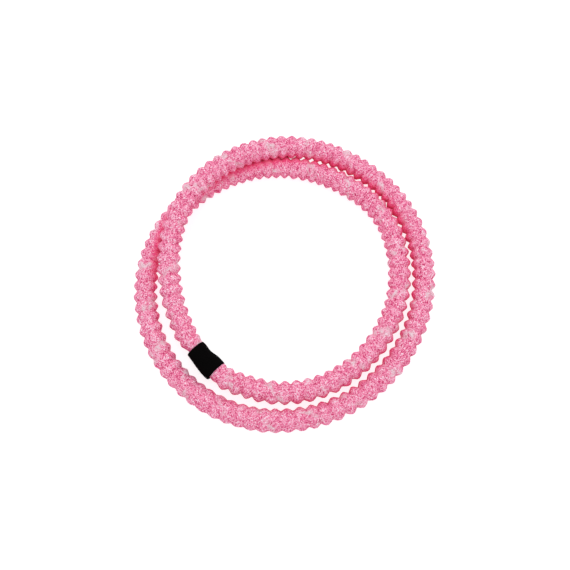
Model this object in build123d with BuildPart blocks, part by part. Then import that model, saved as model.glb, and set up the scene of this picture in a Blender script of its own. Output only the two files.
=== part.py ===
"""Soft folding exercise hoop, wound into its double coil.

One closed flexible tube lies in two loops, the inner loop inside the outer one, and crosses itself
once.  From the inside out the tube is a close-wound steel spring, a wave-moulded foam tube and a
knitted sleeve.  Its two ends meet under a black joint band, where a threaded plug and socket join
the spring.  The loops fold about the line through the crossing: the inner loop lifts over the
outer one until the hoop lies as a figure of eight.

Units are millimetres.  The hoop lies on Z = 0, with +Z up, and X and Y are through its middle.
"""

import os
from math import cos, pi, radians, sin, tan

from build123d import *

# ---- the tube, from the outside in --------------------------------------------------------------
SLEEVE_R = 19.0  # over the crests of the waves
SLEEVE_BORE_R = 17.6
FOAM_R = 17.5
FOAM_BORE_R = 6.4
SPRING_R = 6.0  # a 2 mm wire wound close
SPRING_BORE_R = 4.0

# ---- how the two loops lie ----------------------------------------------------------------------
OUTER_LOOP = (240.4, -0.1, 0.5)  # radius, and the middle's X and Y
INNER_LOOP = (198.7, -0.2, 7.9)
OUTER_OVAL = (5.7, 2, 40.0)  # how far the loop strays from a circle, in how many lobes, and where
INNER_OVAL = (2.6, 3, 25.0)
CROSSING = 130.0  # the crossing's direction from the middle, counter-clockwise from +X
CHANGEOVER = 54.0  # the tube moves from one loop to the other over this angle, each side
CROSSING_LIFT = 41.5  # the upper strand stands this much above the lower one
LIFT_SPREAD = 84.0  # and comes down to the floor over this angle, each side
STEP = 8.0  # winding angle from one turn of the route to the next

# ---- where the tube is divided, as winding angles -----------------------------------------------
# The winding angle runs clockwise along the tube, from 0 on the upper strand at the crossing,
# through 360 on the lower strand, to 720 at the start again.
OVER_BEND = (28.0, 60.0)  # the stretch that bends between the inner loop and the outer one
UNDER_BEND = (324.0, 356.0)
JOINT = 624.3  # the two ends of the tube meet here

# ---- the joint ----------------------------------------------------------------------------------
JOINT_RUN = 18.0  # winding angle of the straight run at the joint
JOINT_SHIFT = {-1: 4.6, 1: 1.6}  # outward shift of the start and the end of that run
JOINT_SPREAD = 20.0  # the shift fades out over this angle, each side
BAND_LENGTH = 53.0
BAND_THICKNESS = 1.3
BAND_GAP = 0.1
BAND_RISE = 1.5  # the tube stands this much higher on the band
BAND_RISE_SPREAD = 20.0  # and comes down beside it over this angle
SEAM_WIDTH = 3.0
SEAM_HEIGHT = 0.6
SEAM_AT = -40.0  # degrees round the band, from its outward side; below is negative
SLEEVE_END = 14.0  # from the joint's middle to where the sleeve stops
CORD_R = 0.7  # the elastic cord that draws in the sleeve's end
FOAM_END = 0.5
FOAM_POCKET_R = 8.0  # the foam's bore is opened out to this round the connector
FOAM_POCKET_END = 21.0
CONNECTOR_R = 7.4
CONNECTOR_END = 20.0  # half the connector's whole length
FERRULE_LENGTH = 14.0
FERRULE_BORE_R = 6.1
FERRULE_WALL = 2.5
RIVET_R = 2.9
RIVET_LENGTH = 5.0
RIVET_HOLE_R = 2.95
PLUG_FLANGE = 1.5
STUD_R = 3.4
STUD_LENGTH = 8.5
STUD_CHAMFER = 0.6
SOCKET_BORE_R = 3.5
SOCKET_START = -4.4
SOCKET_BORE_END = 4.4
SPRING_END = 11.5

FILLET_SHARE = 0.45  # of the shorter run beside each turn
JOINT_FILLET_SHARE = 0.2
JOINT_CLEAR = 5.0  # winding angle beside the joint's straight run that holds no other turn


# ---- the route of the tube's middle line --------------------------------------------------------
def smooth(t):
    """0 below t = 0, 1 above t = 1, and a smooth S between."""
    t = min(max(t, 0.0), 1.0)
    return t * t * (3.0 - 2.0 * t)


def loop_radius(loop, oval, direction):
    """Distance from the origin to a loop's middle line, seen in a direction in degrees."""
    radius, x, y = loop
    stray, lobes, lobe_at = oval
    a = radians(direction)
    off_centre = x * cos(a) + y * sin(a)
    across = x * sin(a) - y * cos(a)
    circle = off_centre + (radius**2 - across**2) ** 0.5
    return circle + stray * cos(radians(lobes * (direction - lobe_at)))


def turn_from(winding, middle):
    """Signed winding angle from middle, the short way round the tube."""
    return (winding - middle + 360.0) % 720.0 - 360.0


def route_point(winding):
    """The tube's middle line at a winding angle."""
    direction = CROSSING - winding
    from_over = turn_from(winding, 0.0)
    from_under = turn_from(winding, 360.0)
    if abs(from_over) < 180.0:
        outer_share = smooth((from_over + CHANGEOVER) / (2.0 * CHANGEOVER))
    else:
        outer_share = smooth((CHANGEOVER - from_under) / (2.0 * CHANGEOVER))
    inner = loop_radius(INNER_LOOP, INNER_OVAL, direction)
    outer = loop_radius(OUTER_LOOP, OUTER_OVAL, direction)
    radius = inner + outer_share * (outer - inner)
    lift = CROSSING_LIFT * (1.0 - smooth(abs(from_over) / LIFT_SPREAD))
    from_joint = turn_from(winding, JOINT)
    past_joint = abs(from_joint) - JOINT_RUN / 2
    rise = BAND_RISE * (1.0 - smooth(past_joint / BAND_RISE_SPREAD))
    shift = JOINT_SHIFT[-1 if from_joint < 0.0 else 1]
    radius += shift * (1.0 - smooth(past_joint / JOINT_SPREAD))
    a = radians(direction)
    return Vector(radius * cos(a), radius * sin(a), SLEEVE_R + lift + rise)


even_turns = [n * STEP for n in range(int(720 / STEP))]
joint_turns = [JOINT - JOINT_RUN / 2, JOINT + JOINT_RUN / 2]
far_turns = [w for w in even_turns if abs(w - JOINT) > JOINT_RUN / 2 + JOINT_CLEAR]
TURNS = sorted(far_turns + joint_turns)
POINTS = [route_point(w) for w in TURNS]


def point(n):
    return POINTS[n % len(POINTS)]


def corner_radius(n):
    """Radius of the tangent arc at turn n."""
    before = point(n) - point(n - 1)
    after = point(n + 1) - point(n)
    beside_joint = abs(abs(turn_from(TURNS[n % len(TURNS)], JOINT)) - JOINT_RUN / 2) < 1e-6
    share = JOINT_FILLET_SHARE if beside_joint else FILLET_SHARE
    shorter = min(before.length, after.length)
    return share * shorter / tan(radians(before.get_angle(after)) / 2)


def run_before(winding):
    """Index of the turn that starts the run holding this winding angle."""
    w = winding % 720.0
    return max(n for n, turn in enumerate(TURNS) if turn <= w)


def route(start, end):
    """Straight runs and tangent arcs from the middle of one run to the middle of another."""
    first = run_before(start)
    last = run_before(end)
    if last <= first:
        last += len(POINTS)
    corners = range(first + 1, last + 1)
    begin = (point(first) + point(first + 1)) * 0.5
    finish = (point(last) + point(last + 1)) * 0.5
    with BuildLine() as line:
        FilletPolyline(
            [begin] + [point(n) for n in corners] + [finish],
            radius=[corner_radius(n) for n in corners],
        )
    return line.wire()


# Each stretch of tube, from one winding angle to the next.
STRETCHES = {
    "outer_loop": (OVER_BEND[1], UNDER_BEND[0]),
    "under_bend": UNDER_BEND,
    "inner_loop_long": (UNDER_BEND[1], JOINT),
    "inner_loop_short": (JOINT, 720.0 + OVER_BEND[0]),
    "over_bend": OVER_BEND,
}
ROUTES = {name: route(*ends) for name, ends in STRETCHES.items()}

# ---- the joint's own plane: +Z along the tube ---------------------------------------------------
joint_from = point(run_before(JOINT))
joint_to = point(run_before(JOINT) + 1)
JOINT_MIDDLE = (joint_from + joint_to) * 0.5
JOINT_ALONG = (joint_to - joint_from).normalized()
JOINT_AXIS = Axis(JOINT_MIDDLE, JOINT_ALONG)
JOINT_PLANE = Plane(origin=JOINT_MIDDLE, x_dir=Vector(0, 0, 1).cross(JOINT_ALONG), z_dir=JOINT_ALONG)


def keep(part, label):
    part.label = label
    export_step(part, f"parts/{label}.step")


def ring(inner_r, outer_r, start, end):
    """A round tube on the joint's axis, from start to end along it."""
    with BuildPart() as tube:
        with BuildSketch(JOINT_PLANE.offset(start)):
            Circle(outer_r)
            if inner_r:
                Circle(inner_r, mode=Mode.SUBTRACT)
        extrude(amount=end - start)
    return tube.part


def layer(stretch, outer_r, bore_r, cutter=None):
    """One layer of the tube along a stretch of the route."""
    path = ROUTES[stretch]
    with BuildPart() as tube:
        with BuildSketch(Plane(origin=path @ 0, z_dir=path % 0)):
            Circle(outer_r)
            Circle(bore_r, mode=Mode.SUBTRACT)
        sweep(path=path)
        if cutter:
            add(cutter, mode=Mode.SUBTRACT)
    length = tube.part.volume / (pi * (outer_r**2 - bore_r**2))
    print(f"{stretch:17} radius {outer_r:4.1f}: {length:6.1f} mm by volume, {path.length:6.1f} by path")
    return tube.part


os.makedirs("parts", exist_ok=True)

# ---- layers of the tube -------------------------------------------------------------------------
past_tube_r = 2 * SLEEVE_R
sleeve_cut = ring(0, past_tube_r, -SLEEVE_END, SLEEVE_END)
foam_pocket = ring(0, FOAM_POCKET_R, -FOAM_POCKET_END, FOAM_POCKET_END)
foam_cut = foam_pocket + ring(0, past_tube_r, -FOAM_END, FOAM_END)
spring_cut = ring(0, past_tube_r, -SPRING_END, SPRING_END)

for stretch in STRETCHES:
    at_joint = stretch.startswith("inner_loop")
    sleeve = layer(stretch, SLEEVE_R, SLEEVE_BORE_R, sleeve_cut if at_joint else None)
    keep(sleeve, f"sleeve_{stretch}")
    foam = layer(stretch, FOAM_R, FOAM_BORE_R, foam_cut if at_joint else None)
    keep(foam, f"foam_{stretch}")
    spring = layer(stretch, SPRING_R, SPRING_BORE_R, spring_cut if at_joint else None)
    keep(spring, f"spring_{stretch}")

# ---- connector: a ferrule on each spring end, with a threaded plug and socket between -----------
with BuildPart() as ferrule_plug_end:
    add(ring(0, CONNECTOR_R, -CONNECTOR_END, FERRULE_LENGTH - CONNECTOR_END))
    with BuildSketch(JOINT_PLANE.offset(-CONNECTOR_END)):
        Circle(FERRULE_BORE_R)
    extrude(amount=FERRULE_LENGTH - FERRULE_WALL, mode=Mode.SUBTRACT)
    with BuildSketch(JOINT_PLANE.offset(FERRULE_LENGTH - CONNECTOR_END)):
        Circle(RIVET_HOLE_R)
    extrude(amount=-FERRULE_WALL, mode=Mode.SUBTRACT)
keep(ferrule_plug_end.part, "ferrule_plug_end")

with BuildPart() as ferrule_socket_end:
    add(ring(0, CONNECTOR_R, CONNECTOR_END - FERRULE_LENGTH, CONNECTOR_END))
    with BuildSketch(JOINT_PLANE.offset(CONNECTOR_END)):
        Circle(FERRULE_BORE_R)
    extrude(amount=FERRULE_WALL - FERRULE_LENGTH, mode=Mode.SUBTRACT)
    with BuildSketch(JOINT_PLANE.offset(CONNECTOR_END - FERRULE_LENGTH)):
        Circle(RIVET_HOLE_R)
    extrude(amount=FERRULE_WALL, mode=Mode.SUBTRACT)
keep(ferrule_socket_end.part, "ferrule_socket_end")

plug_face = FERRULE_LENGTH - CONNECTOR_END
with BuildPart() as connector_plug:
    add(ring(0, RIVET_R, plug_face - RIVET_LENGTH, plug_face))
    add(ring(0, CONNECTOR_R, plug_face, plug_face + PLUG_FLANGE))
    add(ring(0, STUD_R, plug_face + PLUG_FLANGE, plug_face + PLUG_FLANGE + STUD_LENGTH))
    stud_tip = connector_plug.faces().sort_by(JOINT_AXIS)[-1]
    chamfer(stud_tip.edges(), length=STUD_CHAMFER)
keep(connector_plug.part, "connector_plug")

socket_face = CONNECTOR_END - FERRULE_LENGTH
with BuildPart() as connector_socket:
    add(ring(0, CONNECTOR_R, SOCKET_START, socket_face))
    with BuildSketch(JOINT_PLANE.offset(SOCKET_START)):
        Circle(SOCKET_BORE_R)
    extrude(amount=SOCKET_BORE_END - SOCKET_START, mode=Mode.SUBTRACT)
    add(ring(0, RIVET_R, socket_face, socket_face + RIVET_LENGTH))
keep(connector_socket.part, "connector_socket")

# ---- elastic cord that draws in each end of the sleeve, just past the knit's last row -----------
for label, side in (("hem_cord_plug_end", -1), ("hem_cord_socket_end", 1)):
    with BuildPart() as hem_cord:
        with Locations(JOINT_PLANE.offset(side * (SLEEVE_END - CORD_R))):
            Torus(SLEEVE_R - CORD_R, CORD_R)
    keep(hem_cord.part, label)

# ---- joint band: a snug elastic sleeve over both ends, closed by a flat seam --------------------
band_bore_r = SLEEVE_R + BAND_GAP
band_r = band_bore_r + BAND_THICKNESS
band_path = route(JOINT - JOINT_RUN, JOINT + JOINT_RUN)
band_ends = ring(0, past_tube_r, -BAND_LENGTH / 2, BAND_LENGTH / 2)
band_start = band_path % 0
outward = Vector(0, 0, 1).cross(band_start)
section_plane = Plane(origin=band_path @ 0, x_dir=outward, z_dir=band_start)

with BuildPart() as joint_band:
    with BuildSketch(section_plane):
        Circle(band_r)
        Circle(band_bore_r, mode=Mode.SUBTRACT)
    sweep(path=band_path)
    add(band_ends, mode=Mode.INTERSECT)
keep(joint_band.part, "joint_band")

with BuildPart() as band_seam:
    with BuildSketch(section_plane):
        with PolarLocations(band_r, 1, start_angle=SEAM_AT):
            Rectangle(2 * SEAM_HEIGHT, SEAM_WIDTH)
        Circle(band_r, mode=Mode.SUBTRACT)
    sweep(path=band_path)
    add(band_ends, mode=Mode.INTERSECT)
keep(band_seam.part, "band_seam")

# ---- the fold: the line between the two bends, midway in height between the crossing strands ----
under = route_point((UNDER_BEND[0] + UNDER_BEND[1]) / 2)
over = route_point((OVER_BEND[0] + OVER_BEND[1]) / 2)
fold_height = SLEEVE_R + CROSSING_LIFT / 2
fold_axis = (Vector(under.X, under.Y) - Vector(over.X, over.Y)).normalized()
fold_middle = (under + over) * 0.5
print(f"fold passes through {fold_middle.X:.2f}, {fold_middle.Y:.2f}, {fold_height:.2f}")
print(f"fold runs along {fold_axis.X:.5f}, {fold_axis.Y:.5f}, 0")
print(f"tightest turn {min(corner_radius(n) for n in range(len(POINTS))):.0f} mm")
print(f"tube {sum(path.length for path in ROUTES.values()):.0f} mm long round its middle line")
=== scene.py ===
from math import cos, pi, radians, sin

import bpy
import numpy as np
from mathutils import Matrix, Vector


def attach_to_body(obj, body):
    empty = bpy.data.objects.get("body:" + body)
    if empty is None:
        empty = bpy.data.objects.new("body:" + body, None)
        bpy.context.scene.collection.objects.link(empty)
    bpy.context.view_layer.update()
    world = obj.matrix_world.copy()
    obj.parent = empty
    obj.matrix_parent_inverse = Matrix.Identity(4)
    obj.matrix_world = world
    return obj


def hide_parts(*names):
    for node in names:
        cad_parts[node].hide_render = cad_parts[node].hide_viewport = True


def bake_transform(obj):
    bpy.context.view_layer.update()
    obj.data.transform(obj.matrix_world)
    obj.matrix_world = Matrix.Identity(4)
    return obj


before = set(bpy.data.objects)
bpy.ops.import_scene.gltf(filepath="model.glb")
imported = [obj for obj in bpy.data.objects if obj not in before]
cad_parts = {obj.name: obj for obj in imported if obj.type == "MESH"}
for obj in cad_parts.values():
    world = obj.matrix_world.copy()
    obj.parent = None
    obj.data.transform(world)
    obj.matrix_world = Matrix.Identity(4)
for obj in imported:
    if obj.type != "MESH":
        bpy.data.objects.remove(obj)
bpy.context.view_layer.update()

# The looks of a soft folding hoop: a marled knit sleeve over wave-moulded foam and a coil spring,
# joined under a black elastic band.  Every soft layer is a mesh made along one route, which follows
# the middle line of the CAD tube.  Metres, +Z up.  The winding angle runs clockwise in degrees: 0 on
# the upper strand at the crossing, 360 on the lower strand, 720 at the start again.  Distance along
# the tube starts at the joint.  Angle round the tube is 0 on the outward side and 90 degrees on top.

# ---- the route, as in the CAD source -------------------------------------------------------------
OUTER_LOOP = (0.2404, -0.0001, 0.0005)  # radius, and the middle's X and Y
INNER_LOOP = (0.1987, -0.0002, 0.0079)
OUTER_OVAL = (0.0057, 2, 40.0)  # how far the loop strays from a circle, in how many lobes, and where
INNER_OVAL = (0.0026, 3, 25.0)
CROSSING = 130.0
CHANGEOVER = 54.0
CROSSING_LIFT = 0.0408  # the knit gives a little, so the strands lie closer than the CAD tubes
LIFT_SPREAD = 84.0
OVER_BEND = (28.0, 60.0)
UNDER_BEND = (324.0, 356.0)
JOINT = 624.3
TUBE_R = 0.0190  # of the CAD tube, whose middle line lies this much above the floor
BAND_RISE = 0.0015
BAND_RISE_SPREAD = 20.0
JOINT_RUN = 18.0  # winding angle of the straight run at the joint
JOINT_SHIFT = {-1: 0.0046, 1: 0.0016}  # outward shift of the start and the end of that run
JOINT_SPREAD = 20.0
NESTLES = (  # past the crossing the lower strand is pushed outward: at, how far either way, how much
    (42.0, 40.0, 0.0035),
    (94.0, 30.0, 0.0038),
)
ROUTE_STEP = 0.05
ROUND_OFF = 61  # route steps over which the turns at the joint are rounded

# ---- the waves in the foam, and the knit over them -----------------------------------------------
CREST_R = 0.0200
WAVE_PITCH = 0.0186
WAVE_PITCH_SWING = 0.0020  # closer on the +Y side of the loops, wider on the -Y side
WAVE_DEPTH = 0.0058
WAVE_TOP_SHARE = 0.3  # of that depth, on top of the tube and under it, where the knit lies flatter
CALM_AT = 245.0  # winding angle in the middle of the stretch with the lowest waves
CALM_SPREAD = 55.0
CALM_SHARE = 0.45  # of the waves' depth is missing there
WAVE_ARCH = 0.75  # share of a round arch in a wave's outline; the rest is a plain swell
WAVE_TILT = 0.04  # of a wave, across the tube
WAVE_TILT_TURN = 40.0  # radians that the tilt turns round the tube in a metre
WAVE_WANDER = 0.07  # of a wave, along the tube
WANDER_SIZE = 0.035
WAVE_RAGGED = 0.025  # of a wave, in patches
RAGGED_SIZE = 0.020
DEPTH_CHANGE = 0.18  # of the waves' depth, in patches
DEPTH_SIZE = 0.022
KNIT_THICKNESS = 0.0012
INNER_WAVE = 0.0024  # the knit's inner face follows the waves by this much
CURL_SIZE = 0.0030
CURL_HEIGHT = 0.0006
CURL_WIDTH = 0.38  # share of the curls' noise that is raised
CURL_SWIRL = 0.6  # how far the curls are pushed about, in curls
SWIRL_SIZE = 1.3 * CURL_SIZE
FINE_CURL = 0.45  # share of smaller curls
FINE_CURL_SIZE = 0.55 * CURL_SIZE
LUMP_SIZE = 0.008
LUMP_HEIGHT = 0.0002
# How far the painted shade between the strands reaches.
CONTACT_SHADE_REACH = 0.016
STRIPE_LEAD = 0.075  # the pale yarn winds once round the tube in this length

# ---- the joint -----------------------------------------------------------------------------------
BAND_HALF = 0.0265
BAND_RADII = (  # distance along the tube, outward radius, inward radius
    (-0.0265, 0.0192, 0.0202),
    (-0.0230, 0.0203, 0.0203),
    (-0.0120, 0.0206, 0.0200),
    (0.0020, 0.0197, 0.0196),
    (0.0150, 0.0182, 0.0184),
    (0.0265, 0.0172, 0.0174),
)
BAND_THICKNESS = 0.0011
CREASE_AT = 0.005  # the band creases on its inward side
CREASE_DEPTH = 0.0026
CREASE_REACH = 0.017
CREASE_FADE = 1.5  # how fast the crease fades round the band
RIB_PITCH = 0.0016
RIB_HEIGHT = 0.00006
HEM_INSET = 0.0035  # of the hem's stitch line, from the band's edge
HEM_STITCH_DEPTH = 0.00025
HEM_STITCH_WIDTH = 0.0006
HEM_GRIP = 0.002  # length over which the band closes on the sleeve
BAND_GAP = 0.0003  # between the hem and the drawn-in sleeve
EDGE_ROUND = 0.0005
EDGE_REACH = 0.0009
NECK_R = {-1: 0.0166, 1: 0.0141}  # the drawn-in sleeve at the band, before and after the joint
NECK_SHIFT = 0.0024  # and how far it lies towards the inward side
NECK_REACH = 0.024
SLEEVE_END = 0.014
CORD_R = 0.0007
CORD_TWISTS = 14
CORD_TWIST_DEPTH = 0.10
FOAM_GAP = 0.0003
FOAM_BORE_R = 0.0064
FOAM_END = 0.0005
FOAM_POCKET_R = 0.0080
FOAM_POCKET_END = 0.021
SPRING_END = 0.0115
SPRING_R = 0.0060
WIRE_R = 0.00095
WIRE_PITCH = 0.00205
SEAM_AT = radians(-40.0)
SEAM_WIDTH = 0.003
SEAM_HEIGHT = 0.0006
SEAM_INSET = 0.0008  # from the band's edges
SEAM_BAND_R = 0.0204  # of the band under the seam
SEAM_STITCH = 0.0016
SEAM_FLAT = 0.55  # share of the seam's height that is there between stitches
SEAM_SUNK = 0.0003

# ---- how fine the meshes are ---------------------------------------------------------------------
KNIT_CELL = 0.0013
KNIT_ROUND = 90
COARSE = 3  # an inner face has a third of the cells each way
FOAM_ROUND = 36
WIRE_STEPS = 12  # points along the wire in a turn of the spring
WIRE_ROUND = 6
BAND_RINGS = 97
BAND_ROUND = 144
SOFTENINGS = 6
SEAM_RINGS = 181
SEAM_ACROSS = 15
CORD_STEPS = 120
CORD_ROUND = 10
FLOOR_CLEAR = 0.0002


# ---- route ---------------------------------------------------------------------------------------
def smooth(t):
    """0 below t = 0, 1 above t = 1, and a smooth S between."""
    t = np.clip(t, 0.0, 1.0)
    return t * t * (3.0 - 2.0 * t)


def loop_radius(loop, oval, direction):
    """Distance from the origin to a loop's middle line, seen in directions in degrees."""
    radius, x, y = loop
    stray, lobes, lobe_at = oval
    a = np.radians(direction)
    off_centre = x * np.cos(a) + y * np.sin(a)
    across = x * np.sin(a) - y * np.cos(a)
    circle = off_centre + np.sqrt(radius**2 - across**2)
    return circle + stray * np.cos(np.radians(lobes * (direction - lobe_at)))


def turn_from_joint(winding):
    """Signed winding angle from the joint, the short way round the tube."""
    return (winding - JOINT + 360.0) % 720.0 - 360.0


def route_points(winding):
    """The tube's middle line at winding angles, as rows of X, Y, Z."""
    direction = CROSSING - winding
    from_over = (winding + 360.0) % 720.0 - 360.0
    from_under = winding % 720.0 - 360.0
    leaving = smooth((from_over + CHANGEOVER) / (2.0 * CHANGEOVER))
    returning = smooth((CHANGEOVER - from_under) / (2.0 * CHANGEOVER))
    outer_share = np.where(np.abs(from_over) < 180.0, leaving, returning)
    inner = loop_radius(INNER_LOOP, INNER_OVAL, direction)
    outer = loop_radius(OUTER_LOOP, OUTER_OVAL, direction)
    radius = inner + outer_share * (outer - inner)
    for at, spread, push in NESTLES:
        radius = radius + push * (1.0 - smooth(np.abs(from_under - at) / spread))
    lift = CROSSING_LIFT * (1.0 - smooth(np.abs(from_over) / LIFT_SPREAD))
    past_joint = np.abs(turn_from_joint(winding)) - JOINT_RUN / 2.0
    rise = BAND_RISE * (1.0 - smooth(past_joint / BAND_RISE_SPREAD))
    shift = np.where(turn_from_joint(winding) < 0.0, JOINT_SHIFT[-1], JOINT_SHIFT[1])
    radius = radius + shift * (1.0 - smooth(past_joint / JOINT_SPREAD))
    a = np.radians(direction)
    return np.stack([radius * np.cos(a), radius * np.sin(a), TUBE_R + lift + rise], axis=-1)


def joined_route(winding):
    """The route with its straight run at the joint, and the turns at both ends of it rounded off."""
    points = route_points(winding)
    run_start, run_end = route_points(np.array([JOINT - JOINT_RUN / 2.0, JOINT + JOINT_RUN / 2.0]))
    share = turn_from_joint(winding) / JOINT_RUN + 0.5
    on_run = (share >= 0.0) & (share <= 1.0)
    points[on_run] = run_start + share[on_run, None] * (run_end - run_start)
    weights = np.hanning(2 * ROUND_OFF + 1)
    weights /= weights.sum()
    return sum(weight * np.roll(points, n - ROUND_OFF, axis=0) for n, weight in enumerate(weights))


TABLE_WINDING = JOINT + np.arange(0.0, 720.0, ROUTE_STEP)
TABLE_POINTS = joined_route(TABLE_WINDING)
table_steps = np.linalg.norm(np.roll(TABLE_POINTS, -1, axis=0) - TABLE_POINTS, axis=1)
TABLE_ALONG = np.cumsum(table_steps) - table_steps
TUBE_LENGTH = float(table_steps.sum())
TABLE_AHEAD = np.roll(TABLE_POINTS, -1, axis=0) - np.roll(TABLE_POINTS, 1, axis=0)

table_pitch = WAVE_PITCH - WAVE_PITCH_SWING * np.sin(np.radians(CROSSING - TABLE_WINDING))
TABLE_WAVES = np.cumsum(table_steps / table_pitch)


def along_at(winding):
    """Distance along the tube from the joint to a winding angle past it."""
    return float(np.interp(winding, TABLE_WINDING, TABLE_ALONG))


def on_route(along, table):
    """Rows of a table of the route, at distances along the tube."""
    columns = [np.interp(along, TABLE_ALONG, column, period=TUBE_LENGTH) for column in table.T]
    return np.stack(columns, axis=-1)


def frames(along):
    """Middle, outward and upward directions at distances along the tube."""
    middle = on_route(along, TABLE_POINTS)
    ahead = on_route(along, TABLE_AHEAD)
    ahead /= np.linalg.norm(ahead, axis=-1, keepdims=True)
    outward = np.cross([0.0, 0.0, 1.0], ahead)
    outward /= np.linalg.norm(outward, axis=-1, keepdims=True)
    return middle, outward, np.cross(ahead, outward)


def tube_grid(along, angles, radius, shift=0.0):
    """Points of a tube: rings along it by points round it.  radius and shift may vary over the grid."""
    middle, outward, upward = frames(along)
    across = radius * np.cos(angles)[None, :] + shift
    rise = radius * np.sin(angles)[None, :]
    off = across[..., None] * outward[:, None, :] + rise[..., None] * upward[:, None, :]
    return middle[:, None, :] + off


# ---- surface of the knit -------------------------------------------------------------------------
def lumps(along, angles, size, seed):
    """Smooth random lumps over the tube, from -1 to 1, the same on every piece."""
    rows = round(TUBE_LENGTH / size)
    columns = round(2.0 * pi * CREST_R / size)
    values = np.random.default_rng(seed).uniform(-1.0, 1.0, (rows, columns))
    u = np.mod(along / TUBE_LENGTH, 1.0) * rows
    v = np.mod(angles / (2.0 * pi), 1.0) * columns
    i = np.floor(u).astype(int)
    j = np.floor(v).astype(int)
    fu = smooth(u - i)
    fv = smooth(v - j)
    here = i % rows
    ahead = (i + 1) % rows
    beside = (j + 1) % columns
    low = values[here, j % columns] * (1 - fv) + values[here, beside] * fv
    high = values[ahead, j % columns] * (1 - fv) + values[ahead, beside] * fv
    return low * (1 - fu) + high * fu


def curls(along, angles):
    """The raised, curly loops of the marled yarn, from 0 to 1."""
    swirl = CURL_SWIRL * CURL_SIZE
    a = along + swirl * lumps(along, angles, SWIRL_SIZE, seed=11)
    t = angles + swirl / CREST_R * lumps(along, angles, SWIRL_SIZE, seed=12)
    noise = lumps(a, t, CURL_SIZE, seed=13) + FINE_CURL * lumps(a, t, FINE_CURL_SIZE, seed=14)
    return 1.0 - smooth(np.abs(noise) / CURL_WIDTH)


def from_joint(along):
    """Signed distance from the joint, the short way round the tube."""
    return np.mod(along + 0.5 * TUBE_LENGTH, TUBE_LENGTH) - 0.5 * TUBE_LENGTH


def drawn_in(along):
    """1 where the sleeve is drawn in under the band, down to 0 a little way from it."""
    return 1.0 - smooth((np.abs(from_joint(along)) - BAND_HALF) / NECK_REACH)


def neck_radius(along):
    """Radius of the drawn-in sleeve on either side of the joint."""
    return np.where(from_joint(along) < 0.0, NECK_R[-1], NECK_R[1])


def wave_phase(along, angles):
    """Waves counted along the tube, with a slight tilt and wander."""
    wrapped = np.mod(along, TUBE_LENGTH)
    phase = np.interp(wrapped, TABLE_ALONG, TABLE_WAVES)
    phase = phase + WAVE_WANDER * lumps(along, 0.0 * along, WANDER_SIZE, seed=21)
    phase = phase + WAVE_TILT * np.cos(angles - WAVE_TILT_TURN * along)
    return phase + WAVE_RAGGED * lumps(along, angles, RAGGED_SIZE, seed=22)


def knit_radius(along, angles):
    """Outer radius of the knit, and how high on its wave each point is."""
    turn = np.cos(pi * wave_phase(along, angles))
    height = WAVE_ARCH * np.abs(turn) + (1.0 - WAVE_ARCH) * turn**2
    flatter = WAVE_TOP_SHARE + (1.0 - WAVE_TOP_SHARE) * np.abs(np.cos(angles))
    winding = np.interp(np.mod(along, TUBE_LENGTH), TABLE_ALONG, TABLE_WINDING) % 720.0
    calm = 1.0 - CALM_SHARE * (1.0 - smooth(np.abs(winding - CALM_AT) / CALM_SPREAD))
    depth = WAVE_DEPTH * flatter * calm * (1.0 + DEPTH_CHANGE * lumps(along, angles, DEPTH_SIZE, seed=23))
    waved = CREST_R - depth * (1.0 - height)
    drawn = drawn_in(along)
    radius = waved * (1.0 - drawn) + neck_radius(along) * drawn
    relief = CURL_HEIGHT * (curls(along, angles) - 0.5)
    relief = relief + LUMP_HEIGHT * lumps(along, angles, LUMP_SIZE, seed=24)
    return radius + relief * (1.0 - 0.5 * drawn), height


def lining_radius(along, angles, inset):
    """Radius of a hidden face under the knit, which follows the waves loosely."""
    swell = np.cos(pi * wave_phase(along, angles)) ** 2
    waved = CREST_R - WAVE_DEPTH - KNIT_THICKNESS + INNER_WAVE * swell
    drawn = drawn_in(along)
    return waved * (1.0 - drawn) + (neck_radius(along) - KNIT_THICKNESS) * drawn - inset


def contact_shade(along, points):
    """Mask of the painted shade between the strands: 1 where points nearly touch the strand beside them,
    down to 0 a little way from it.
    """
    winding = np.interp(np.mod(along, TUBE_LENGTH), TABLE_ALONG, TABLE_WINDING)
    beside = route_points(winding + 360.0)
    gap = np.linalg.norm(points - beside[:, None, :], axis=-1) - CREST_R
    return 1.0 - smooth(gap / CONTACT_SHADE_REACH)


def above_floor(points):
    """Points with none of them below the floor."""
    points[..., 2] = np.maximum(points[..., 2], FLOOR_CLEAR)
    return points


# ---- meshes --------------------------------------------------------------------------------------
def grid_faces(rings, count, first, flip):
    """Quads of a grid of rings that close on themselves."""
    ring = np.arange(rings - 1)[:, None] * count
    here = np.arange(count)[None, :]
    ahead = (here + 1) % count
    quads = np.stack([ring + here, ring + ahead, ring + count + ahead, ring + count + here], axis=-1)
    quads = quads.reshape(-1, 4) + first
    return quads[:, ::-1] if flip else quads


def end_faces(outer_first, outer_count, inner_first, inner_count, flip):
    """Faces between an outer ring and a coarser inner ring."""
    share = outer_count // inner_count
    faces = []
    for n in range(inner_count):
        outer = [outer_first + (n * share + k) % outer_count for k in range(share + 1)]
        face = outer + [inner_first + (n + 1) % inner_count, inner_first + n]
        faces.append(face[::-1] if flip else face)
    return faces


def new_piece(name, points, faces, material):
    """A smooth-shaded mesh object with one material."""
    mesh = bpy.data.meshes.new(name)
    mesh.from_pydata(points.tolist(), [], [list(face) for face in faces])
    mesh.polygons.foreach_set("use_smooth", np.ones(len(mesh.polygons), bool))
    mesh.materials.append(material)
    mesh.update()
    piece = bpy.data.objects.new(name, mesh)
    bpy.context.scene.collection.objects.link(piece)
    return piece


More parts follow.
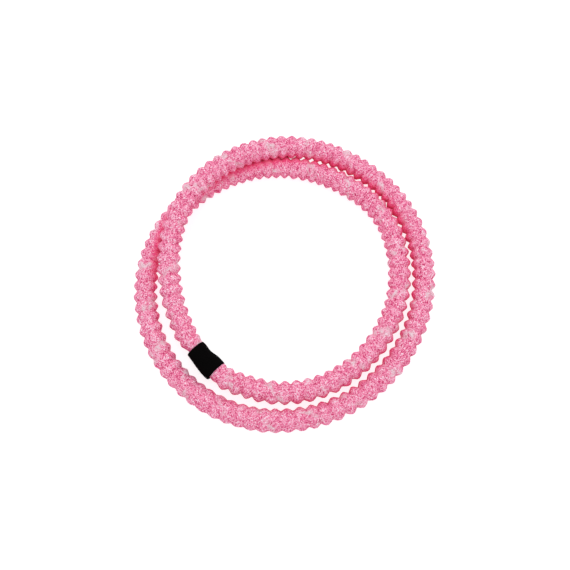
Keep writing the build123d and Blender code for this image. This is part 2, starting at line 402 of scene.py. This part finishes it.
def shell(name, outer, inner, material):
    """A closed hollow tube between two grids of points, rings along it by points round it."""
    rings, count = outer.shape[:2]
    inner_rings, inner_count = inner.shape[:2]
    first = rings * count
    last_outer = (rings - 1) * count
    last_inner = first + (inner_rings - 1) * inner_count
    faces = grid_faces(rings, count, 0, False).tolist()
    faces += grid_faces(inner_rings, inner_count, first, True).tolist()
    faces += end_faces(0, count, first, inner_count, True)
    faces += end_faces(last_outer, count, last_inner, inner_count, False)
    points = np.concatenate([outer.reshape(-1, 3), inner.reshape(-1, 3)])
    return new_piece(name, points, faces, material)


def set_attribute(piece, name, outer, inner):
    """Stores values on a shell's points, numbers or vectors, from grids over its outer and inner faces."""
    vectors = outer.ndim == 3
    values = np.concatenate([outer.ravel(), inner.ravel()])
    attribute = piece.data.attributes.new(name, "FLOAT_VECTOR" if vectors else "FLOAT", "POINT")
    key = "vector" if vectors else "value"
    attribute.data.foreach_set(key, np.ascontiguousarray(values, np.float32))


def tube_place(s, t, radius):
    """Where points are on a straightened tube, so that a material bends with the tube."""
    return np.stack([s, radius * np.cos(t), radius * np.sin(t)], axis=-1)


# ---- materials -----------------------------------------------------------------------------------
class Nodes:
    """Short names for the shader nodes of one material."""

    def __init__(self, name):
        self.material = bpy.data.materials.new(name)
        self.material.use_nodes = True
        self.tree = self.material.node_tree
        self.shader = self.tree.nodes["Principled BSDF"]

    def node(self, kind, inputs=None, **settings):
        made = self.tree.nodes.new(kind)
        for key, value in settings.items():
            setattr(made, key, value)
        for key, value in (inputs or {}).items():
            self.feed(made.inputs[key], value)
        return made

    def feed(self, socket, value):
        if isinstance(value, bpy.types.NodeSocket):
            self.tree.links.new(value, socket)
        else:
            socket.default_value = value

    def math(self, operation, a, b=0.0, clamp=False):
        made = self.node("ShaderNodeMath", {0: a, 1: b}, operation=operation, use_clamp=clamp)
        return made.outputs[0]

    def between(self, value, low, high, to_low=0.0, to_high=1.0):
        """value taken from the range low..high to the range to_low..to_high, smoothly."""
        inputs = {"Value": value, "From Min": low, "From Max": high, "To Min": to_low, "To Max": to_high}
        made = self.node("ShaderNodeMapRange", inputs, interpolation_type="SMOOTHSTEP")
        return made.outputs["Result"]

    def noise(self, place, scale, detail=2.0, distortion=0.0, roughness=0.5):
        inputs = {"Vector": place, "Scale": scale, "Detail": detail}
        inputs.update({"Distortion": distortion, "Roughness": roughness})
        return self.node("ShaderNodeTexNoise", inputs).outputs["Fac"]

    def object_place(self):
        return self.node("ShaderNodeTexCoord").outputs["Object"]

    def attribute(self, name, output="Fac"):
        return self.node("ShaderNodeAttribute", attribute_name=name).outputs[output]

    def mix(self, share, first, second, blend="MIX"):
        made = self.node("ShaderNodeMix", data_type="RGBA", blend_type=blend)
        self.feed(made.inputs[0], share)
        self.feed(made.inputs[6], first)
        self.feed(made.inputs[7], second)
        return made.outputs[2]

    def ramp(self, value, stops):
        made = self.node("ShaderNodeValToRGB", {"Fac": value})
        elements = made.color_ramp.elements
        while len(elements) < len(stops):
            elements.new(0.5)
        for element, (place, colour) in zip(elements, stops):
            element.position = place
            element.color = colour
        return made.outputs["Color"]

    def bump(self, height, strength, distance):
        inputs = {"Height": height, "Strength": strength, "Distance": distance}
        return self.node("ShaderNodeBump", inputs).outputs["Normal"]

    def finish(self, colour, roughness, normal=None, **others):
        self.feed(self.shader.inputs["Base Color"], colour)
        self.feed(self.shader.inputs["Roughness"], roughness)
        if normal is not None:
            self.feed(self.shader.inputs["Normal"], normal)
        for key, value in others.items():
            self.feed(self.shader.inputs[key.replace("_", " ")], value)
        return self.material


def srgb(red, green, blue):
    """A linear colour from its usual 0 to 255 numbers."""
    channels = [c / 255.0 for c in (red, green, blue)]
    return [c / 12.92 if c <= 0.04045 else ((c + 0.055) / 1.055) ** 2.4 for c in channels] + [1.0]


KNIT_COLOURS = (  # from the deep yarn between the loops to the pale tops of the loops
    (0.00, srgb(188, 34, 86)),
    (0.22, srgb(222, 76, 128)),
    (0.45, srgb(246, 126, 169)),
    (0.66, srgb(255, 162, 196)),
    (0.84, srgb(255, 202, 223)),
    (1.00, srgb(255, 238, 247)),
)
PALE_YARN = srgb(236, 222, 227)
# Painted shade: the deep pink painted between the strands where they nearly touch.
CONTACT_SHADE_COLOUR = srgb(248, 66, 128)
THREAD_PITCH = 0.0009  # of the band's elastic threads


def knit_material():
    """Marled yarn: fine curly loops of pale and deep pink, with a pale yarn winding through, and painted
    shade on the tube's flanks and underside, in the wave valleys and between the strands.
    """
    n = Nodes("marled_knit")
    place = n.attribute("tube_place", "Vector")
    curl = n.attribute("curl")
    wave = n.attribute("wave")
    stripe = n.attribute("stripe")
    # close is the mask of the painted shade between the strands.
    close = n.attribute("contact_shade")
    worms = n.math("ABSOLUTE", n.math("SUBTRACT", n.noise(place, 330.0, 1.0, 1.0), 0.5))
    worms = n.between(worms, 0.0, 0.11, 1.0, 0.0)
    loops = n.noise(place, 520.0, 2.0, 0.6, 0.6)
    cloudy = n.noise(place, 120.0, 2.0, 0.6)
    fibres = n.noise(place, 1500.0, 3.0, 0.0, 0.7)
    # Painted shade: deeper pink on the flanks and underside of the tube than on its top.
    upward = n.node("ShaderNodeSeparateXYZ", {0: place}).outputs[2]
    side = n.between(upward, -0.002, 0.016, 1.0, 0.0)
    value = n.math("MULTIPLY", worms, 0.30)
    value = n.math("SUBTRACT", value, n.math("MULTIPLY", side, 0.16))
    for part, middle, weight in (
        (loops, 0.5, 2.8),
        (cloudy, 0.5, 0.8),
        (fibres, 0.5, 0.6),
        (curl, 0.4, 0.2),
        # Painted shade: a touch lighter on the wave crests and deeper in the valleys.
        (wave, 0.6, 0.04),
    ):
        value = n.math("ADD", value, n.math("MULTIPLY", n.math("SUBTRACT", part, middle), weight))
    value = n.math("ADD", value, 0.42, clamp=True)
    pink = n.ramp(value, KNIT_COLOURS)
    drift = n.math("MULTIPLY", n.math("SUBTRACT", n.noise(place, 60.0, 2.0, 1.0), 0.5), 2.4)
    patch = n.between(n.math("ADD", stripe, drift), 0.75, 1.45)
    patch = n.math("MULTIPLY", patch, n.math("ADD", n.math("MULTIPLY", worms, 0.5), 0.45))
    colour = n.mix(patch, pink, PALE_YARN)
    # Painted shade: deep pink where the strands nearly touch.
    colour = n.mix(n.math("MULTIPLY", close, 0.8), colour, CONTACT_SHADE_COLOUR)
    relief = n.math("ADD", n.math("MULTIPLY", worms, 0.6), n.math("MULTIPLY", fibres, 0.4))
    normal = n.bump(relief, 0.5, 0.0006)
    return n.finish(
        colour, 0.92, normal, Sheen_Weight=0.1, Sheen_Roughness=0.5, Sheen_Tint=srgb(255, 205, 220),
        Specular_IOR_Level=0.1,
    )


def foam_material():
    """Off-white closed-cell foam with small pores."""
    n = Nodes("wave_foam")
    place = n.object_place()
    pores = n.node("ShaderNodeTexVoronoi", {"Vector": place, "Scale": 900.0}).outputs["Distance"]
    tone = n.noise(place, 60.0, 3.0)
    colour = n.mix(tone, srgb(240, 235, 228), srgb(250, 247, 242))
    return n.finish(colour, 0.9, n.bump(pores, 0.4, 0.0003))


def wire_material():
    """Drawn spring steel with fine lines and a few dull patches."""
    n = Nodes("spring_wire")
    place = n.object_place()
    lines = n.noise(place, 2500.0, 2.0)
    patches = n.noise(place, 120.0, 3.0)
    colour = n.mix(patches, srgb(150, 152, 156), srgb(190, 191, 194))
    roughness = n.between(lines, 0.2, 0.8, 0.28, 0.5)
    return n.finish(colour, roughness, n.bump(lines, 0.2, 0.0001), Metallic=1.0)


def plated_material():
    """Zinc-plated steel, turned on a lathe, with fine rings and slight staining."""
    n = Nodes("plated_steel")
    place = n.object_place()
    rings = n.noise(place, 3000.0, 2.0)
    stains = n.noise(place, 200.0, 4.0)
    colour = n.mix(stains, srgb(176, 178, 180), srgb(214, 215, 216))
    roughness = n.between(stains, 0.2, 0.8, 0.22, 0.42)
    return n.finish(colour, roughness, n.bump(rings, 0.15, 0.0001), Metallic=1.0)


def cord_material():
    """White elastic cord with a braided cover."""
    n = Nodes("elastic_cord")
    place = n.object_place()
    braid = n.noise(place, 2600.0, 1.0)
    colour = n.mix(braid, srgb(205, 200, 198), srgb(245, 242, 240))
    return n.finish(colour, 0.85, n.bump(braid, 0.5, 0.0002))


def band_material():
    """Black elastic fabric: fine ribs round the band over a slight weave."""
    n = Nodes("black_elastic")
    place = n.attribute("tube_place", "Vector")
    along = n.node("ShaderNodeSeparateXYZ", {0: place}).outputs[0]
    ribs = n.math("SINE", n.math("MULTIPLY", along, 2.0 * pi / THREAD_PITCH))
    weave = n.noise(place, 1800.0, 2.0)
    relief = n.math("ADD", n.math("MULTIPLY", ribs, 0.5), weave)
    worn = n.noise(place, 130.0, 3.0)
    colour = n.mix(worn, srgb(6, 5, 5), srgb(10, 9, 9))
    roughness = n.between(worn, 0.3, 0.7, 0.82, 0.95)
    return n.finish(colour, roughness, n.bump(relief, 0.35, 0.0003), Specular_IOR_Level=0.02)


def thread_material():
    """Black sewing thread with a slight twist."""
    n = Nodes("black_thread")
    place = n.object_place()
    twist = n.noise(place, 3500.0, 1.0)
    colour = n.mix(twist, srgb(18, 16, 17), srgb(38, 36, 37))
    return n.finish(colour, 0.7, n.bump(twist, 0.5, 0.0002))


def floor_material():
    """A pale, softly lit table, so that the shadows on it stay pale."""
    n = Nodes("studio_floor")
    place = n.object_place()
    colour = n.mix(n.noise(place, 0.8, 2.0), (0.40, 0.40, 0.40, 1.0), (0.42, 0.42, 0.42, 1.0))
    glow = {"Emission_Color": (1.0, 1.0, 1.0, 1.0), "Emission_Strength": FLOOR_GLOW}
    return n.finish(colour, 0.9, Specular_IOR_Level=0.1, **glow)


# ---- pieces --------------------------------------------------------------------------------------
def rings_between(start, end, cell):
    """Evenly spaced distances, a multiple of COARSE of them apart, so that inner faces line up."""
    count = COARSE * max(2, round((end - start) / cell / COARSE))
    return np.linspace(start, end, count + 1)


def round_angles(count):
    """Evenly spaced angles round a full turn."""
    return np.arange(count) * 2.0 * pi / count


def sleeve_piece(stretch, start, end, material):
    """One length of the knit, a closed hollow shell with the yarn's relief on its outer face."""
    along = rings_between(start, end, KNIT_CELL)
    angles = round_angles(KNIT_ROUND)
    s, t = np.meshgrid(along, angles, indexing="ij")
    radius, wave = knit_radius(s, t)
    outer = above_floor(tube_grid(along, angles, radius, -NECK_SHIFT * drawn_in(s)))
    coarse_s = s[::COARSE, ::COARSE]
    coarse_t = t[::COARSE, ::COARSE]
    lining = lining_radius(coarse_s, coarse_t, 0.0)
    inner = tube_grid(along[::COARSE], angles[::COARSE], lining, -NECK_SHIFT * drawn_in(coarse_s))
    piece = shell(f"knit_{stretch}", outer, inner, material)
    set_attribute(piece, "tube_place", tube_place(s, t, radius), tube_place(coarse_s, coarse_t, lining))
    blank = np.zeros(coarse_s.size)
    set_attribute(piece, "curl", curls(s, t), blank)
    set_attribute(piece, "wave", wave, blank)
    set_attribute(piece, "stripe", np.cos(2.0 * pi * s / STRIPE_LEAD - t), blank)
    # The mask of the painted shade between the strands.
    set_attribute(piece, "contact_shade", contact_shade(along, outer), blank)
    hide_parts(f"sleeve_{stretch}")
    return piece


def foam_piece(stretch, start, end, material):
    """One length of the foam tube, its waves just under the knit."""
    along = rings_between(start, end, 2.0 * KNIT_CELL)
    angles = round_angles(FOAM_ROUND)
    s, t = np.meshgrid(along, angles, indexing="ij")
    outer = tube_grid(along, angles, lining_radius(s, t, FOAM_GAP), -NECK_SHIFT * drawn_in(s))
    coarse = along[::COARSE]
    bore = np.where(np.abs(from_joint(coarse)) < FOAM_POCKET_END, FOAM_POCKET_R, FOAM_BORE_R)
    inner = tube_grid(coarse, angles[::COARSE], bore[:, None])
    piece = shell(f"foam_tube_{stretch}", outer, inner, material)
    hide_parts(f"foam_{stretch}")
    return piece


def spring_piece(stretch, start, end, material):
    """One length of the close-wound spring, as its real wire."""
    turns = round((end - start) / WIRE_PITCH)
    along = np.linspace(start + WIRE_R, end - WIRE_R, turns * WIRE_STEPS + 1)
    turn = np.arange(len(along)) * 2.0 * pi / WIRE_STEPS
    middle, outward, upward = frames(along)
    away = np.cos(turn)[:, None] * outward + np.sin(turn)[:, None] * upward
    ahead = np.cross(outward, upward)
    section = round_angles(WIRE_ROUND)
    wide = SPRING_R - WIRE_R + WIRE_R * np.cos(section)
    points = middle[:, None, :] + wide[None, :, None] * away[:, None, :]
    points = points + WIRE_R * np.sin(section)[None, :, None] * ahead[:, None, :]
    faces = grid_faces(len(along), len(section), 0, True).tolist()
    faces.append(list(range(len(section))))
    faces.append(list(range((len(along) - 1) * len(section), len(along) * len(section)))[::-1])
    piece = new_piece(f"spring_wire_{stretch}", points.reshape(-1, 3), faces, material)
    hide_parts(f"spring_{stretch}")
    return piece


def band_radius(along, angles):
    """Outer radius of the band, with its crease on the inward side."""
    places, outward_r, inward_r = np.array(BAND_RADII).T
    outward_share = 0.5 + 0.5 * np.cos(angles)
    base = np.interp(along, places, outward_r) * outward_share
    base = base + np.interp(along, places, inward_r) * (1.0 - outward_share)
    crease = smooth(1.0 - np.abs(along - CREASE_AT) / CREASE_REACH)
    return base - CREASE_DEPTH * crease * (1.0 - outward_share) ** CREASE_FADE


def soften(values):
    """Smooths a grid along its rings."""
    for _ in range(SOFTENINGS):
        inside = 0.25 * values[:-2] + 0.5 * values[1:-1] + 0.25 * values[2:]
        values = np.concatenate([values[:1], inside, values[-1:]])
    return values


def joint_band(material):
    """The black band: ribbed elastic with hemmed ends that close on the drawn-in sleeve."""
    along = np.linspace(-BAND_HALF, BAND_HALF, BAND_RINGS)
    angles = round_angles(BAND_ROUND)
    s, t = np.meshgrid(along, angles, indexing="ij")
    radius = soften(band_radius(s, t))
    ribs = RIB_HEIGHT * np.cos(2.0 * pi * s / RIB_PITCH)
    hem = BAND_HALF - HEM_INSET
    stitched = -HEM_STITCH_DEPTH * np.exp(-(((np.abs(s) - hem) / HEM_STITCH_WIDTH) ** 2))
    edge = BAND_HALF - np.abs(s)
    rounding = EDGE_ROUND * (1.0 - np.sqrt(np.clip(edge / EDGE_REACH, 0.0, 1.0)))
    outer = tube_grid(along, angles, radius + ribs + stitched - rounding)
    coarse_s = s[::COARSE, ::COARSE]
    coarse_t = t[::COARSE, ::COARSE]
    neck = neck_radius(coarse_s)
    off = NECK_SHIFT * np.cos(coarse_t)
    on_knit = -off + np.sqrt(neck**2 - (NECK_SHIFT * np.sin(coarse_t)) ** 2) + BAND_GAP
    loose = radius[::COARSE, ::COARSE] - BAND_THICKNESS
    hemmed = smooth((np.abs(coarse_s) - (hem - HEM_GRIP)) / HEM_GRIP)
    inside = np.minimum(loose, loose * (1.0 - hemmed) + on_knit * hemmed)
    inner = tube_grid(along[::COARSE], angles[::COARSE], inside)
    piece = shell("black_joint_band", outer, inner, material)
    set_attribute(piece, "tube_place", tube_place(s, t, radius), tube_place(coarse_s, coarse_t, inside))
    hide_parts("joint_band")
    return piece


def band_seam(material):
    """The flat overlocked seam along the band, with its slanted stitches."""
    along = np.linspace(-BAND_HALF + SEAM_INSET, BAND_HALF - SEAM_INSET, SEAM_RINGS)
    half_turn = SEAM_WIDTH / 2.0 / SEAM_BAND_R
    share = np.linspace(-1.0, 1.0, SEAM_ACROSS)
    angles = SEAM_AT + half_turn * share
    s, t = np.meshgrid(along, angles, indexing="ij")
    side = np.broadcast_to(share[None, :], s.shape)
    stitch = np.abs(np.sin(pi * (s / SEAM_STITCH + 0.5 * side)))
    crown = np.sqrt(np.clip(1.0 - side**2, 0.0, 1.0))
    base = band_radius(s, t)
    top = base + SEAM_HEIGHT * crown * (SEAM_FLAT + (1.0 - SEAM_FLAT) * stitch)
    top_points = tube_grid(along, angles, top)
    under_points = tube_grid(along, angles, base - SEAM_SUNK)
    section = np.concatenate([top_points, under_points[:, ::-1]], axis=1)
    rings, count = section.shape[:2]
    faces = grid_faces(rings, count, 0, False).tolist()
    faces.append(list(range(count))[::-1])
    faces.append(list(range((rings - 1) * count, rings * count)))
    piece = new_piece("band_flat_seam", section.reshape(-1, 3), faces, material)
    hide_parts("band_seam")
    return piece


def hem_cord(label, side, material):
    """The twisted elastic cord in one hem of the sleeve."""
    turn = round_angles(CORD_STEPS)
    section = round_angles(CORD_ROUND)
    middle, outward, upward = frames(np.array([side * (SLEEVE_END - CORD_R)]))
    ahead = np.cross(outward, upward)[0]
    strands = np.cos(2.0 * (section[None, :] - CORD_TWISTS * turn[:, None]))
    cord_r = CORD_R * (1.0 + CORD_TWIST_DEPTH * strands)
    wide = NECK_R[side] - KNIT_THICKNESS + cord_r * np.cos(section)[None, :]
    around = np.cos(turn)[:, None, None] * outward + np.sin(turn)[:, None, None] * upward
    aside = (cord_r * np.sin(section)[None, :])[..., None] * ahead
    points = middle - NECK_SHIFT * outward + wide[..., None] * around + aside
    ring = np.arange(CORD_STEPS)[:, None] * CORD_ROUND
    here = np.arange(CORD_ROUND)[None, :]
    next_ring = (ring + CORD_ROUND) % (CORD_STEPS * CORD_ROUND)
    next_here = (here + 1) % CORD_ROUND
    quads = np.stack([ring + here, next_ring + here, next_ring + next_here, ring + next_here], axis=-1)
    faces = quads.reshape(-1, 4).tolist()
    piece = new_piece(f"cord_{label}", points.reshape(-1, 3), faces, material)
    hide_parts(f"hem_cord_{label}")
    return piece


# ---- camera, light and floor ---------------------------------------------------------------------
VIEW_DISTANCE = 1.14
VIEW_ELEVATION = radians(78.0)
VIEW_TARGET = Vector((0.0, -0.0083, 0.02))
LENS_MM = 41.5
SENSOR_MM = 36.0
WORLD_STRENGTH = 0.80
LIGHT_PLACE = (0.1, 0.5, 1.7)
LIGHT_SIZE = 1.6
LIGHT_POWER = 9.0
FLOOR_HALF = 4.0
FLOOR_GLOW = 0.78


def look_from(obj, place, target):
    """Puts a camera or light at a place, turned to look at a target."""
    obj.location = place
    obj.rotation_euler = (Vector(target) - Vector(place)).to_track_quat("-Z", "Y").to_euler()


def camera():
    """The one camera, nearly overhead."""
    data = bpy.data.cameras.new("camera")
    data.lens = LENS_MM
    data.sensor_width = SENSOR_MM
    made = bpy.data.objects.new("camera", data)
    bpy.context.scene.collection.objects.link(made)
    back = Vector((0.0, -cos(VIEW_ELEVATION), sin(VIEW_ELEVATION)))
    look_from(made, VIEW_TARGET + VIEW_DISTANCE * back, VIEW_TARGET)
    bpy.context.scene.camera = made


def overhead_light():
    """One large, soft light above the far side."""
    data = bpy.data.lights.new("overhead", "AREA")
    data.shape = "SQUARE"
    data.size = LIGHT_SIZE
    data.energy = LIGHT_POWER
    made = bpy.data.objects.new("overhead", data)
    bpy.context.scene.collection.objects.link(made)
    look_from(made, LIGHT_PLACE, (0.0, 0.0, 0.0))


def studio():
    """White surroundings, the light and a plain floor."""
    scene = bpy.context.scene
    scene.view_settings.view_transform = "Standard"
    world = bpy.data.worlds.new("studio")
    world.use_nodes = True
    background = world.node_tree.nodes["Background"]
    background.inputs["Color"].default_value = (1.0, 1.0, 1.0, 1.0)
    background.inputs["Strength"].default_value = WORLD_STRENGTH
    scene.world = world
    overhead_light()
    mesh = bpy.data.meshes.new("floor")
    corners = [(x * FLOOR_HALF, y * FLOOR_HALF, 0.0) for x, y in ((-1, -1), (1, -1), (1, 1), (-1, 1))]
    mesh.from_pydata(corners, [], [(0, 1, 2, 3)])
    mesh.materials.append(floor_material())
    floor = bpy.data.objects.new("floor", mesh)
    scene.collection.objects.link(floor)


camera()
studio()

# ---- the hoop ------------------------------------------------------------------------------------
over_start = along_at(720.0 + OVER_BEND[0])
over_end = along_at(720.0 + OVER_BEND[1])
under_start = along_at(720.0 + UNDER_BEND[0])
under_end = along_at(720.0 + UNDER_BEND[1])
STRETCHES = {  # distance along the tube where each stretch starts and ends, and what it rides on
    "inner_loop_short": (0.0, over_start, "inner_loop"),
    "over_bend": (over_start, over_end, None),
    "outer_loop": (over_end, under_start, "outer_loop"),
    "under_bend": (under_start, under_end, None),
    "inner_loop_long": (under_end, TUBE_LENGTH, "inner_loop"),
}
BEND_INSET = 0.0055  # frames are taken this far inside each end of a bend


def attach(piece, stretch):
    """Rides a loop's piece on its body, and bakes a bend's piece into place where it lies."""
    start, end, body = STRETCHES[stretch]
    if body:
        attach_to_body(piece, body)
        return
    first, last = frames(np.array([start + BEND_INSET, end - BEND_INSET]))[0]
    if stretch == "over_bend":
        first, last = last, first
    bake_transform(piece)


knit = knit_material()
foam = foam_material()
wire = wire_material()
for stretch, (start, end, body) in STRETCHES.items():
    from_end = 1.0 if stretch == "inner_loop_short" else 0.0
    to_end = 1.0 if stretch == "inner_loop_long" else 0.0
    for make, material, gap in (
        (sleeve_piece, knit, SLEEVE_END),
        (foam_piece, foam, FOAM_END),
        (spring_piece, wire, SPRING_END),
    ):
        attach(make(stretch, start + gap * from_end, end - gap * to_end, material), stretch)

cord = cord_material()
joint_pieces = [joint_band(band_material()), band_seam(thread_material())]
joint_pieces += [hem_cord("plug_end", -1, cord), hem_cord("socket_end", 1, cord)]
for piece in joint_pieces:
    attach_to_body(piece, "inner_loop")

plated = plated_material()
for node in ("ferrule_plug_end", "ferrule_socket_end", "connector_plug", "connector_socket"):
    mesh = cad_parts[node].data
    mesh.materials.clear()
    mesh.materials.append(plated)
